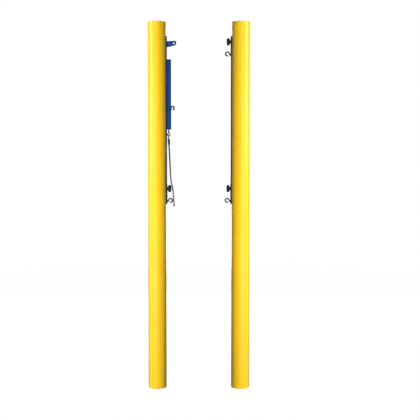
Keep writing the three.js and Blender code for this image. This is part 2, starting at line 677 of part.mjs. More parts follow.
function tensioner() {
  const group = new THREE.Group();
  const [lowerScrew, upperScrew] = HOUSING_SCREWS;
  const seat = HOUSING.back + HOUSING.wall;
  group.add(
    housingShell('tensioner_housing'),
    housingTopCap('housing_top_cap'),
    housingBottomCap('housing_bottom_cap'),
    railNut('housing_nut_lower', lowerScrew - 10, lowerScrew + 10, [lowerScrew]),
    railNut('housing_nut_upper', upperScrew - 10, upperScrew + 10, [upperScrew]),
    railScrew('housing_screw_lower', seat, lowerScrew),
    railScrew('housing_screw_upper', seat, upperScrew),
    carriageBlock('carriage_block'),
    carriageHook('carriage_hook'),
    carriagePin('carriage_pin'),
    returnSpring('return_spring'),
    pullRod('pull_rod'),
    rodTackle(),
    handRope('hand_rope'),
    ropeCrimp('rope_crimp_sleeve'),
    ropeEnd('rope_end_cap'),
  );
  return group;
}

// ---------------------------------------------------------------- the pair

const tensionPost = new THREE.Group();
tensionPost.position.x = -POST.spacing / 2;
tensionPost.add(postWithRail('tension_post'), cableGuide(), tensioner(), slider('tension_lower', LOWER_KNOB));

const anchorPost = new THREE.Group();
anchorPost.position.x = POST.spacing / 2;
anchorPost.rotation.z = Math.PI;
anchorPost.add(
  postWithRail('anchor_post'),
  slider('anchor_upper', ANCHOR_UPPER_KNOB),
  slider('anchor_lower', LOWER_KNOB),
);

const pair = new THREE.Group();
pair.add(tensionPost, anchorPost);

export default pair;
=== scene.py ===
"""A pair of volleyball net posts with their rails, sliders, cable guide and net tensioner."""
import math

import bmesh
import bpy
from mathutils import Matrix, Vector


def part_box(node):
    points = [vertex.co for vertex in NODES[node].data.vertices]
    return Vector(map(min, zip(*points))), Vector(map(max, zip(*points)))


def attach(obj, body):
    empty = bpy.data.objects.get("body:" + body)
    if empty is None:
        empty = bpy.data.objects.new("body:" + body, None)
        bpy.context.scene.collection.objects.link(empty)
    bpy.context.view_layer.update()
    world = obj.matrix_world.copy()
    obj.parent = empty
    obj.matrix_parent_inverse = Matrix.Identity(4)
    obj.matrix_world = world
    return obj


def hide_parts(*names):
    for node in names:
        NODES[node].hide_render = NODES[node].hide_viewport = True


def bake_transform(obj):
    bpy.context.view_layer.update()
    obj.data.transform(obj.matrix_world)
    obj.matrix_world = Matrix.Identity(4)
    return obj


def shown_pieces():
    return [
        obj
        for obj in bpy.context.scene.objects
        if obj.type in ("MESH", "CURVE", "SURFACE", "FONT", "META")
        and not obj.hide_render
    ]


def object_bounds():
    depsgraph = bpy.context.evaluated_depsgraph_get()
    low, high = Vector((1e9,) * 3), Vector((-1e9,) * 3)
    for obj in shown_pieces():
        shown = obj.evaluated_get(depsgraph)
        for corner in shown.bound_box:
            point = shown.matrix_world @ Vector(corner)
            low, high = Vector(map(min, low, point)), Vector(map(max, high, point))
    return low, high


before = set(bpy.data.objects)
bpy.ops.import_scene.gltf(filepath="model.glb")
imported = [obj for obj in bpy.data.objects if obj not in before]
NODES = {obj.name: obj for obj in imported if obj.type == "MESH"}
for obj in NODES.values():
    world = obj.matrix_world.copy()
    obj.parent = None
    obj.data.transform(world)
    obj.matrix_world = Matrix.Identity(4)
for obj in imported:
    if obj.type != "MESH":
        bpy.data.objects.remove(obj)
CAD_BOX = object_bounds()
MM = 0.001


# ---------------------------------------------------------------- where things are

def middle(node):
    low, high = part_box(node)
    return (low + high) / 2


TENSION_X = middle("tension_post_tube").x
ANCHOR_X = middle("anchor_post_tube").x
POST_HEIGHT = CAD_BOX[1].z
POST_RADIUS = (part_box("tension_post_tube")[1].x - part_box("tension_post_tube")[0].x) / 2

# Each post has a frame of its own, with its fittings on the +X side.
ON_TENSION = Matrix.Translation((TENSION_X, 0, 0))
ON_ANCHOR = Matrix.Translation((ANCHOR_X, 0, 0)) @ Matrix.Rotation(math.pi, 4, "Z")
ALONG_X = Matrix.Rotation(math.pi / 2, 4, "Y")
ALONG_Y = Matrix.Rotation(-math.pi / 2, 4, "X")


def at(x, y, z):
    return Matrix.Translation((x, y, z))


# ---------------------------------------------------------------- camera

CAMERA_DISTANCE = 6.4
CAMERA_TILT = math.radians(3.3)
CAMERA_LENS = 71.5
CAMERA_SHIFT = (0.0265, -0.0080)


def add_camera():
    data = bpy.data.cameras.new("camera")
    data.lens = CAMERA_LENS
    data.sensor_width = 36
    data.shift_x, data.shift_y = CAMERA_SHIFT
    camera = bpy.data.objects.new("camera", data)
    bpy.context.scene.collection.objects.link(camera)
    target = Vector((0, 0, POST_HEIGHT / 2))
    back = Vector((0, -math.cos(CAMERA_TILT), math.sin(CAMERA_TILT)))
    camera.location = target + back * CAMERA_DISTANCE
    camera.rotation_euler = (-back).to_track_quat("-Z", "Y").to_euler()
    bpy.context.scene.camera = camera


add_camera()


# ---------------------------------------------------------------- mesh helpers

def bridge(bm, a, b):
    """Faces between two rings of vertices, either of which may be a single point."""
    count = max(len(a), len(b))
    for i in range(count):
        j = (i + 1) % count
        corners = [a[i % len(a)], a[j % len(a)], b[j % len(b)], b[i % len(b)]]
        bm.faces.new(dict.fromkeys(corners))


def rounded(points, radius, steps=4, closed=False):
    """A flat outline with its corners rounded; radius is one number or one for each point."""
    count = len(points)
    radii = radius if hasattr(radius, "__len__") else [radius] * count
    made = []
    for i, (point, size) in enumerate(zip(points, radii)):
        corner = Vector(point)
        if size <= 0 or (not closed and i in (0, count - 1)):
            made.append(tuple(corner))
            continue
        before = Vector(points[i - 1]) - corner
        after = Vector(points[(i + 1) % count]) - corner
        size = min(size, before.length / 2, after.length / 2)
        start, end = corner + before.normalized() * size, corner + after.normalized() * size
        for k in range(steps + 1):
            t = k / steps
            made.append(tuple(start * (1 - t) ** 2 + corner * (2 * t * (1 - t)) + end * t * t))
    return made


def hexagon(radius):
    """The radius of a hexagon at each angle, for lathe()."""
    def at_angle(angle):
        return radius * math.cos(math.pi / 6) / math.cos(angle % (math.pi / 3) - math.pi / 6)
    return at_angle


def lathe(profile, segments=64):
    """A surface turned round Z from (radius, height) pairs in millimetres, made in metres.
    It is closed by its axis or on itself. A radius may be a function of the angle."""
    bm = bmesh.new()
    rings = []
    angles = [2 * math.pi * i / segments for i in range(segments)]
    for radius, height in profile:
        if not callable(radius) and radius < 1e-7:
            rings.append([bm.verts.new((0, 0, height * MM))])
            continue
        sizes = [(radius(a) if callable(radius) else radius) * MM for a in angles]
        rings.append([
            bm.verts.new((r * math.cos(a), r * math.sin(a), height * MM)) for r, a in zip(sizes, angles)
        ])
    for low, high in zip(rings, rings[1:]):
        bridge(bm, low, high)
    if len(rings[0]) > 1 and len(rings[-1]) > 1:
        bridge(bm, rings[-1], rings[0])
    bmesh.ops.recalc_face_normals(bm, faces=bm.faces)
    return bm


def stations(points, side, closed=False):
    """For each point of a path, its place, the direction along it and two directions across it."""
    count = len(points)
    across = Vector(side).normalized()
    made = []
    for i, point in enumerate(points):
        before = points[(i - 1) % count] if closed or i else point
        after = points[(i + 1) % count] if closed or i < count - 1 else point
        along = (after - before).normalized()
        across = (across - along * across.dot(along)).normalized()
        made.append((point, along, across, along.cross(across)))
    return made


def circle(radius, sides):
    angles = [2 * math.pi * i / sides for i in range(sides)]
    return [(radius * math.cos(a), radius * math.sin(a)) for a in angles]


def sweep(points, section, side=(0, 1, 0), closed=False, dome=0.0, bm=None):
    """A tube along points. section is a list of offsets, or gives one for each point's number."""
    bm = bm or bmesh.new()
    made = stations([Vector(p) for p in points], side, closed)
    outline = section if callable(section) else lambda i: section
    rings = []

    def add(station, offsets, push=0.0, scale=1.0):
        place, along, across, up = station
        centre = place + along * push
        rings.append([bm.verts.new(centre + (across * a + up * b) * scale) for a, b in offsets])

    cap = [math.pi / 2 * k / 5 for k in range(1, 5)]
    if not closed and dome:
        for angle in reversed(cap):
            add(made[0], outline(0), -dome * math.sin(angle), math.cos(angle))
    for i, station in enumerate(made):
        add(station, outline(i))
    if not closed and dome:
        for angle in cap:
            add(made[-1], outline(len(made) - 1), dome * math.sin(angle), math.cos(angle))
    for low, high in zip(rings, rings[1:]):
        bridge(bm, low, high)
    if closed:
        bridge(bm, rings[-1], rings[0])
    else:
        bm.faces.new(rings[0])
        bm.faces.new(rings[-1])
    bmesh.ops.recalc_face_normals(bm, faces=bm.faces)
    return bm


def prism(outline, low, high, bevel=0.0, segments=3):
    """A plate of the outline's shape in X and Y, from low to high in Z, with soft edges."""
    bm = bmesh.new()
    ring = [bm.verts.new((x, y, low)) for x, y in outline]
    bottom = bm.faces.new(ring)
    raised = bmesh.ops.extrude_face_region(bm, geom=[bottom])
    moved = [v for v in raised["geom"] if isinstance(v, bmesh.types.BMVert)]
    bmesh.ops.translate(bm, verts=moved, vec=(0, 0, high - low))
    bmesh.ops.recalc_face_normals(bm, faces=bm.faces)
    if bevel:
        soften(bm, bevel, segments, math.radians(50))
    return bm


def soften(bm, width, segments=3, angle=math.radians(30)):
    """Rounds every edge that is sharper than the angle."""
    edges = [e for e in bm.edges if len(e.link_faces) == 2 and e.calc_face_angle() > angle]
    bmesh.ops.bevel(
        bm, geom=edges, offset=width, offset_type="OFFSET", segments=segments, profile=0.5,
        affect="EDGES", clamp_overlap=True,
    )


def fine_copy(node, width, segments=3, angle=math.radians(30)):
    """A CAD node's shape as a new mesh, with its flat faces made whole and its edges rounded."""
    bm = bmesh.new()
    bm.from_mesh(NODES[node].data)
    bmesh.ops.remove_doubles(bm, verts=bm.verts, dist=2e-6)
    bmesh.ops.dissolve_limit(bm, angle_limit=math.radians(0.5), verts=bm.verts, edges=bm.edges)
    soften(bm, width, segments, angle)
    return bm


def joined(*parts):
    """Several meshes as one."""
    whole = bmesh.new()
    for bm in parts:
        mesh = bpy.data.meshes.new("joined")
        bm.to_mesh(mesh)
        bm.free()
        whole.from_mesh(mesh)
        bpy.data.meshes.remove(mesh)
    return whole


def combined(base, tools, operation="UNION"):
    """The exact union or difference of closed meshes."""
    made = []
    for bm in [base, *tools]:
        mesh = bpy.data.meshes.new("tool")
        bm.to_mesh(mesh)
        bm.free()
        obj = bpy.data.objects.new("tool", mesh)
        bpy.context.scene.collection.objects.link(obj)
        made.append(obj)
    for tool in made[1:]:
        step = made[0].modifiers.new("step", "BOOLEAN")
        step.operation, step.solver, step.object = operation, "EXACT", tool
    graph = bpy.context.evaluated_depsgraph_get()
    result = bpy.data.meshes.new_from_object(made[0].evaluated_get(graph))
    whole = bmesh.new()
    whole.from_mesh(result)
    for obj in made:
        mesh = obj.data
        bpy.data.objects.remove(obj)
        bpy.data.meshes.remove(mesh)
    bpy.data.meshes.remove(result)
    return whole


def moved(bm, matrix):
    bmesh.ops.transform(bm, matrix=matrix, verts=bm.verts)
    return bm


def piece(name, bm, body, material, replaces=(), matrix=None, sharp=38.0):
    """Makes a shown piece from a mesh in metres, says what it rides on, and hides the CAD nodes it replaces.
    """
    if matrix is not None:
        moved(bm, matrix)
    mesh = bpy.data.meshes.new(name)
    bm.to_mesh(mesh)
    bm.free()
    mesh.shade_smooth()
    mesh.set_sharp_from_angle(angle=math.radians(sharp))
    mesh.materials.append(material)
    obj = bpy.data.objects.new(name, mesh)
    bpy.context.scene.collection.objects.link(obj)
    if body:
        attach(obj, body)
    if replaces:
        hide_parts(*replaces)
    return obj


# ---------------------------------------------------------------- materials

class Look:
    """One material's nodes, placed by the object's own coordinates in metres."""

    def __init__(self, name, **constants):
        self.material = bpy.data.materials.new(name)
        self.material.use_nodes = True
        self.tree = self.material.node_tree
        self.shader = self.tree.nodes["Principled BSDF"]
        self.place = self.add("ShaderNodeTexCoord").outputs["Object"]
        for key, value in constants.items():
            self.shader.inputs[key.replace("_", " ")].default_value = value

    def add(self, kind, inputs=None, **settings):
        node = self.tree.nodes.new(kind)
        for key, value in settings.items():
            setattr(node, key, value)
        for key, value in (inputs or {}).items():
            self.feed(node.inputs[key], value)
        return node

    def feed(self, socket, value):
        if isinstance(value, bpy.types.NodeSocket):
            self.tree.links.new(value, socket)
        else:
            socket.default_value = value

    def noise(self, scale, detail=3.0, stretch=(1, 1, 1)):
        """Noise from 0 to 1. Scale is features a metre, and stretch weakens it along an axis."""
        vector = self.add("ShaderNodeMapping", {"Vector": self.place, "Scale": stretch}).outputs["Vector"]
        inputs = {"Vector": vector, "Scale": scale, "Detail": detail}
        return self.add("ShaderNodeTexNoise", inputs).outputs[0]

    def spread(self, value, start, end, low=0.0, high=1.0):
        """Maps start..end to low..high and clamps it."""
        inputs = {"Value": value, "From Min": start, "From Max": end, "To Min": low, "To Max": high}
        return self.add("ShaderNodeMapRange", inputs).outputs["Result"]

    def sum(self, a, b, operation="MULTIPLY"):
        return self.add("ShaderNodeMath", {0: a, 1: b}, operation=operation).outputs[0]

    def mix(self, factor, a, b):
        inputs = {"Fac": factor, "Color1": a, "Color2": b}
        return self.add("ShaderNodeMixRGB", inputs).outputs["Color"]

    def height(self):
        return self.add("ShaderNodeSeparateXYZ", {"Vector": self.place}).outputs["Z"]

    def edges(self, start=0.52, end=0.62):
        """1 on raised edges, 0 elsewhere."""
        return self.spread(self.add("ShaderNodeNewGeometry").outputs["Pointiness"], start, end)

    def colour(self, value):
        self.feed(self.shader.inputs["Base Color"], value)

    def roughness(self, value):
        self.feed(self.shader.inputs["Roughness"], value)

    def bump(self, *layers):
        """Layers are (height, strength, depth in metres), the coarsest first."""
        normal = None
        for height, strength, depth in layers:
            inputs = {"Height": height, "Strength": strength, "Distance": depth}
            if normal is not None:
                inputs["Normal"] = normal
            normal = self.add("ShaderNodeBump", inputs).outputs["Normal"]
        self.feed(self.shader.inputs["Normal"], normal)


def rgb(red, green, blue):
    return (red, green, blue, 1.0)


def powder_coat(name, tone, shade, worn, scuff=0.5, **constants):
    """Sprayed and baked paint: an orange-peel skin, faint streaks, and rubbed edges and scuffs."""
    look = Look(name, **constants)
    cloud = look.spread(look.noise(5, 4, (1, 1, 0.3)), 0.35, 0.65)
    paint = look.mix(cloud, rgb(*tone), rgb(*shade))
    marks = look.spread(look.noise(60, 6, (1, 1, 0.12)), 0.66, 0.74)
    rubbed = look.sum(look.edges(), look.spread(look.noise(220, 4), 0.4, 0.6))
    marks = look.sum(look.sum(marks, scuff), look.sum(rubbed, 0.6), "MAXIMUM")
    look.colour(look.mix(marks, paint, rgb(*worn)))
    gloss = look.spread(look.noise(35, 5, (1, 1, 0.4)), 0.3, 0.7, 0.24, 0.36)
    look.roughness(look.sum(gloss, look.sum(marks, 0.25), "ADD"))
    look.bump((look.noise(420, 2), 0.10, 0.0004), (look.noise(1900, 2), 0.06, 0.0001))
    return look.material


def moulded(name, tone, shade, grain=2600, low=0.38, high=0.52, **constants):
    """Moulded plastic with a fine grained skin that is paler where it is handled."""
    look = Look(name, **constants)
    cloud = look.spread(look.noise(40, 4), 0.35, 0.65)
    skin = look.mix(cloud, rgb(*tone), rgb(*shade))
    handled = look.sum(look.edges(), 0.35)
    paler = [min(1.0, 1.6 * c + 0.015) for c in tone]
    look.colour(look.mix(handled, skin, rgb(*paler)))
    look.roughness(look.spread(look.noise(300, 4), 0.3, 0.7, low, high))
    look.bump((look.noise(grain / 6, 2), 0.05, 0.0003), (look.noise(grain, 2), 0.12, 0.0001))
    return look.material


def plated(name, tone, shade, dull, metal=0.9, drawn=(1, 1, 1), low=0.26, high=0.46, **constants):
    """Plated or drawn steel: mottled tone, dull patches, fine lines along the drawn direction."""
    look = Look(name, Metallic=metal, **constants)
    mottle = look.spread(look.noise(140, 5), 0.35, 0.65)
    skin = look.mix(mottle, rgb(*tone), rgb(*shade))
    patches = look.spread(look.noise(70, 6), 0.56, 0.72)
    look.colour(look.mix(patches, skin, rgb(*dull)))
    lines = look.noise(1600, 3, drawn)
    rough = look.spread(lines, 0.3, 0.7, low, high)
    look.roughness(look.sum(rough, look.sum(patches, 0.18), "ADD"))
    look.bump((look.noise(260, 3), 0.05, 0.0003), (lines, 0.10, 0.0001))
    return look.material


def extruded(name, tone, shade, worn):
    """A painted extrusion: fine lines along Z, paler where the sliders rub it."""
    look = Look(name)
    lines = look.noise(1500, 2, (1, 1, 0.004))
    cloud = look.spread(look.noise(9, 5, (1, 1, 0.3)), 0.35, 0.65)
    paint = look.mix(cloud, rgb(*tone), rgb(*shade))
    rubbed = look.sum(look.edges(), look.spread(look.noise(90, 5, (1, 1, 0.2)), 0.42, 0.6))
    streaks = look.sum(look.spread(lines, 0.56, 0.72), 0.25)
    look.colour(look.mix(look.sum(rubbed, streaks, "MAXIMUM"), paint, rgb(*worn)))
    look.roughness(look.spread(lines, 0.3, 0.7, 0.30, 0.48))
    look.bump((lines, 0.12, 0.0001), (look.noise(600, 2), 0.05, 0.0002))
    return look.material


def braid(name, clean, dark_tone, groove):
    """Rope sheath: fine yarn lines on each strand, painted shade between the strands, random dirt, and a
    darker top.
    """
    look = Look(name, Sheen_Weight=0.04, Specular_IOR_Level=0.15)
    # Darker towards the top, from 1.50 m to 1.74 m, on top of the random dirt.
    upper = look.spread(look.height(), 1.50, 1.74)
    dirt_and_dark_top = look.sum(look.spread(look.noise(120, 5), 0.35, 0.7), 0.4)
    dirt_and_dark_top = look.sum(dirt_and_dark_top, upper, "MAXIMUM")
    body = look.mix(dirt_and_dark_top, rgb(*clean), rgb(*dark_tone))
    depth = look.add("ShaderNodeAttribute", attribute_name="groove").outputs["Fac"]
    # Painted shade: the rope is darkened between its strands, where the groove attribute is high.
    look.colour(look.mix(look.sum(depth, 0.8), body, rgb(*groove)))
    yarns = look.noise(3000, 2, (1, 1, 0.3))
    look.roughness(look.spread(yarns, 0.3, 0.7, 0.78, 0.95))
    look.bump((yarns, 0.35, 0.0002))
    return look.material


YELLOW = powder_coat(
    "yellow_powder_coat", (0.95, 0.585, 0.012), (0.93, 0.565, 0.010), (0.80, 0.50, 0.05), 0.35,
    Coat_Weight=0.35, Coat_Roughness=0.18,
)
YELLOW_CAP = moulded("yellow_cap", (0.93, 0.57, 0.012), (0.90, 0.54, 0.010), 1500)
BLUE = powder_coat(
    "blue_powder_coat", (0.002, 0.052, 0.25), (0.0016, 0.045, 0.21), (0.01, 0.08, 0.28), 0.25,
    Specular_IOR_Level=0.2, Coat_Weight=0.03, Coat_Roughness=0.2,
)
# The rail's paint is the housing's blue given a darker tone: painted shade for the shade the rail sits in
# beside the post.
SHADED_BLUE_RAIL = extruded("blue_rail_painted_shade", (0.008, 0.022, 0.085), (0.007, 0.018, 0.068), (0.04, 0.06, 0.13))
ZINC = plated("zinc_steel", (0.30, 0.34, 0.31), (0.24, 0.27, 0.25), (0.20, 0.21, 0.19), 0.6, (1, 1, 0.05))
DARK_ZINC = plated("dark_zinc_steel", (0.022, 0.048, 0.055), (0.014, 0.034, 0.040), (0.045, 0.06, 0.06), 0.15,
                   Specular_IOR_Level=0.4)
CRIMP_ZINC = plated("blue_zinc", (0.15, 0.24, 0.35), (0.12, 0.20, 0.30), (0.10, 0.15, 0.21), 0.3)
HOOK_STEEL = plated(
    "dark_hook_steel", (0.004, 0.006, 0.026), (0.003, 0.005, 0.020), (0.010, 0.012, 0.026), 0.0,
    Specular_IOR_Level=0.35,
)
PLATE_HOOK = plated(
    "plate_hook_steel", (0.022, 0.055, 0.055), (0.016, 0.042, 0.042), (0.035, 0.05, 0.048), 0.2,
)
SPRING_STEEL = plated("spring_steel", (0.20, 0.21, 0.22), (0.15, 0.16, 0.17), (0.12, 0.11, 0.10))
BLACK = moulded("black_plastic", (0.010, 0.010, 0.011), (0.014, 0.014, 0.015))
NYLON = moulded("grey_nylon", (0.48, 0.50, 0.47), (0.44, 0.46, 0.43), 900, 0.42, 0.58)
# The last colour is the painted shade between the strands.
ROPE = braid("rope_sheath", (0.27, 0.21, 0.13), (0.016, 0.016, 0.011), (0.012, 0.011, 0.009))


# ---------------------------------------------------------------- the hand rope

ROPE_RADIUS = 5.5 * MM
ROPE_SIDES = 48
ROPE_STEP = 0.8 * MM
ROPE_GROOVE = 0.55 * MM
ROPE_PLAITS = 4
ROPE_PLAIT_LENGTH = 9 * MM

# The rope's centre line in the tension post's frame, in millimetres, from the socket to its end.
ROPE_ROUTE = [ON_TENSION @ (Vector(point) * MM) for point in (
    (92.3, -9.2, 1875.2),
    (93.5, -12.5, 1851),
    (94.9, -16.2, 1826),
    (96.5, -20.6, 1796),
    (98.1, -25.1, 1766),
    (99.4, -29.1, 1741),
    (100.6, -32.5, 1716),
    (101.9, -34.8, 1691),
    (103.4, -36.0, 1661),
    (105.0, -36.4, 1631),
    (106.8, -36.4, 1606),
    (109.2, -36.4, 1587),
    (112.4, -36.4, 1573),
    (117.0, -36.4, 1552),
    (121.6, -36.4, 1531),
    (123.6, -36.4, 1517),
    (124.6, -36.4, 1497),
    (125.9, -36.4, 1476),
    (127.5, -36.4, 1454),
    (129.1, -36.4, 1434),
    (130.0, -36.4, 1421),
)]


def smooth_path(points, step):
    """Points about a step apart on a smooth curve through the given ones."""
    made = []
    last = len(points) - 1
    for i in range(last):
        p1, p2 = points[i], points[i + 1]
        before = (p2 - points[i - 1]) / ((p2 - p1).length + (p1 - points[i - 1]).length) if i else None
        after = None
        if i + 2 <= last:
            after = (points[i + 2] - p1) / ((points[i + 2] - p2).length + (p2 - p1).length)
        chord = (p2 - p1).length
        start = (before or (p2 - p1) / chord) * chord
        end = (after or (p2 - p1) / chord) * chord
        count = max(1, round(chord / step))
        for k in range(count):
            t = k / count
            made.append(
                p1 * (2 * t ** 3 - 3 * t * t + 1) + start * (t ** 3 - 2 * t * t + t)
                + p2 * (3 * t * t - 2 * t ** 3) + end * (t ** 3 - t * t)
            )
    made.append(points[last])
    return made


def plait_groove(angle, along):
    """0 on a strand and 1 between strands of a braid of two crossing sets."""
    turn = 2 * math.pi * along / ROPE_PLAIT_LENGTH
    crossing = [math.cos(ROPE_PLAITS * angle + side * turn) ** 2 for side in (1, -1)]
    return 1 - max(crossing)


def make_rope():
    path = smooth_path(ROPE_ROUTE, ROPE_STEP)
    walked = [0.0]
    for a, b in zip(path, path[1:]):
        walked.append(walked[-1] + (b - a).length)
    angles = [2 * math.pi * i / ROPE_SIDES for i in range(ROPE_SIDES)]

    def section(i):
        radii = [ROPE_RADIUS - ROPE_GROOVE * plait_groove(a, walked[i]) for a in angles]
        return [(r * math.cos(a), r * math.sin(a)) for r, a in zip(radii, angles)]

    rope = piece(
        "braided_hand_rope", sweep(path, section), "hand_rope", ROPE, ["hand_rope"], sharp=80,
    )
    # The groove attribute also drives painted shade between the strands in the rope's material.
    groove = rope.data.attributes.new("groove", "FLOAT", "POINT")
    values = [plait_groove(a, distance) for distance in walked for a in angles]
    groove.data.foreach_set("value", values)
    return rope, path, walked[-1]


def make_crimp():
    """A pressed sleeve with three rings of crimps and rolled ends."""
    top, bottom = Vector((112.7, -36.4, 1571.6)), Vector((121.3, -36.4, 1532.4))
    length = (bottom - top).length
    outer, pressed, bore = 7.3, 6.5, 5.7
    profile = [(bore, 0), (outer - 0.3, 0)]
    rings = 3
    for k in range(rings * 12 + 1):
        share = k / (rings * 12)
        dip = (1 - math.cos(2 * math.pi * rings * share)) / 2
        profile.append((outer - (outer - pressed) * dip ** 2, 2 + (length - 4) * share))
    profile += [(outer - 0.3, length), (bore, length)]
    turn = (bottom - top).to_track_quat("Z", "Y").to_matrix().to_4x4()
    matrix = ON_TENSION @ Matrix.Translation(top * MM) @ turn
    return piece("crimped_rope_sleeve", lathe(profile, 48), "hand_rope", CRIMP_ZINC,
                 ["rope_crimp_sleeve"], matrix)


def make_rope_end(last, direction):
    """A moulded cap pushed over the rope's end."""
    radius, length, gap = 6.6, 15, 0.3
    outline = [(0, 0), (5.75, 0), (radius, 0), (radius, 3), (radius - 0.5, 3.6), (radius - 0.5, 4.6),
               (radius, 5.2), (radius, length), (0, length)]
    profile = rounded(outline, [0, 0, 0.5, 0.3, 0.3, 0.3, 0.3, 2.2, 0], 5)
    turn = direction.to_track_quat("Z", "Y").to_matrix().to_4x4()
    matrix = Matrix.Translation(last + direction * gap * MM) @ turn
    return piece("rope_end_moulding", lathe(profile, 48), "hand_rope", BLACK,
                 ["rope_end_cap"], matrix)


rope, rope_path, rope_length = make_rope()
crimp = make_crimp()
rope_end = make_rope_end(rope_path[-1], (rope_path[-1] - rope_path[-2]).normalized())


# ---------------------------------------------------------------- posts and rails

ROOT = "posts"


def make_cap(name, node, matrix):
    """A push-in cap: a rounded rim with a moulded ring groove, and a hollow spigot."""
    outline = [
        (0, 0), (60.7, 0), (60.7, -25), (65.7, -25), (65.7, 0), (70, 0), (70, 4),
        (59, 4), (58, 3.3), (55, 3.3), (54, 4), (0, 4),
    ]
    profile = rounded(outline, [0, 0, 0, 0.8, 0, 0.4, 3, 0.4, 0.3, 0.3, 0.4, 0], 6)
    piece(name, lathe(profile, 192), ROOT, YELLOW_CAP, [node], matrix)


def make_post(post, matrix):
    low, high = (corner.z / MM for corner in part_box(f"{post}_tube"))
    outer, wall, edge = POST_RADIUS / MM, 4, 0.7
    outline = [(outer - wall, low), (outer, low), (outer, high), (outer - wall, high), (outer - wall, low)]
    profile = rounded(outline, [0, edge, edge, 0, 0], 4)[:-1]
    tube = lathe(profile, 192)
    piece(f"{post}_painted_tube", tube, ROOT, YELLOW, [f"{post}_tube"], matrix)
    rim = 4 * MM
    make_cap(f"{post}_top_moulding", f"{post}_top_cap", matrix @ at(0, 0, POST_HEIGHT - rim))
    upside_down = Matrix.Rotation(math.pi, 4, "X")
    make_cap(f"{post}_foot_moulding", f"{post}_base_cap", matrix @ at(0, 0, rim) @ upside_down)
    rail = fine_copy(f"{post}_rail", 0.45 * MM)
    piece(f"{post}_c_rail", rail, ROOT, SHADED_BLUE_RAIL, [f"{post}_rail"])
    for end in ("lower", "upper"):
        node = f"{post}_rail_stop_{end}"
        piece(f"{post}_{end}_end_plug", fine_copy(node, 0.4 * MM), ROOT, BLACK, [node])
    make_rail_rivets(post, matrix)


def make_rail_rivets(post, matrix):
    """Flat blind rivets that hold the rail to the tube, seen through the rail's mouth."""
    low, high = (corner.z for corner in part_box(f"{post}_rail"))
    inset, count, seat = 0.085, 7, 72.12
    outline = [(0, 0.02), (1.3, 0.02), (1.6, 0.22), (4.6, 0.22), (5.2, 0), (0, 0)]
    for i in range(count):
        z = low + inset + (high - low - 2 * inset) * i / (count - 1)
        head = lathe(list(reversed(outline)), 40)
        place = matrix @ at(seat * MM, 0, z) @ ALONG_X
        piece(f"{post}_rail_rivet_{i + 1}", head, ROOT, ZINC, matrix=place)


make_post("tension_post", ON_TENSION)
make_post("anchor_post", ON_ANCHOR)


# ---------------------------------------------------------------- sliders

RAIL_FACE = 77.3
KNOB_LOBES, LOBE_DEPTH = 7, 2.8
HOOK_RADIUS, HOOK_WIRE = 14.5, 5.0

# The star knob's rings from its back to its front: distance from the post's axis, radius, lobe share.
KNOB_RINGS = [
    (81.9, 5.3, 0), (81.9, 11.6, 0), (82.3, 12, 0), (83.9, 12, 0), (84.4, 12.5, 0), (84.6, 14, 0.1),
    (84.7, 18, 0.5), (85, 21, 0.9), (85.8, 23.7, 1), (87.2, 25.9, 1), (89.2, 27.3, 1), (91.8, 28, 1),
    (97.5, 28, 1), (101, 27.8, 1), (103.6, 27.1, 1), (105.8, 25.7, 1), (107.6, 23.3, 1), (108.6, 20.5, 0.9),
    (109, 17.5, 0.6), (108.9, 14.5, 0.25), (108.5, 12, 0), (107.9, 11, 0), (107.6, 10.4, 0), (107.6, 9.6, 0),
    (108.1, 9, 0), (108.5, 7.5, 0), (108.7, 4, 0), (108.75, 0, 0),
]


def lobed(radius, share):
    def at_angle(angle):
        return radius - LOBE_DEPTH * share * (1 - math.cos(KNOB_LOBES * (angle - math.pi / 2))) / 2
    return at_angle if share else radius


def make_knob(slider, z, matrix):
    profile = [(lobed(radius, share), x) for x, radius, share in KNOB_RINGS]
    bore_end, bore = 100.3, 5.3
    profile = [(0, bore_end), (bore, bore_end), *profile]
    piece(
        f"{slider}_star_knob", lathe(profile, 16 * KNOB_LOBES), f"{slider}_knob", BLACK,
        [f"{slider}_knob"], matrix @ at(0, 0, z * MM) @ ALONG_X, sharp=50,
    )


def make_hook(slider, z, matrix):
    """A pigtail hook: a stub, a rising stem and most of a loop, with a hexagonal collar at its root."""
    centre_x, centre_z, drop = 103, z - 91, 6
    root = centre_z - drop
    arc = [math.radians(150 - 3.5 * k) for k in range(73)]
    loop = [(centre_x + HOOK_RADIUS * math.cos(a), centre_z + HOOK_RADIUS * math.sin(a)) for a in arc]
    stem = [(82.6, root), (84.4, root + 1.2), (86.8, root + 4.4), (88.6, root + 9.2)]
    path = [Vector((x, 0, height)) * MM for x, height in stem + loop]
    path = smooth_path(path, 1.0 * MM)
    wire = sweep(path, circle(HOOK_WIRE * MM, 28), dome=HOOK_WIRE * MM)
    collar = [(0, 0), (7.6, 0), (hexagon(8.5), 0.5), (hexagon(8.5), 3.5), (7.6, 4), (0, 4)]
    collar_at = at((RAIL_FACE + 2.8) * MM, 0, root * MM) @ ALONG_X
    whole = combined(wire, [moved(lathe(collar, 48), collar_at)])
    piece(
        f"{slider}_pigtail_hook", whole, f"{slider}_slider", HOOK_STEEL,
        [f"{slider}_hook"], matrix,
    )


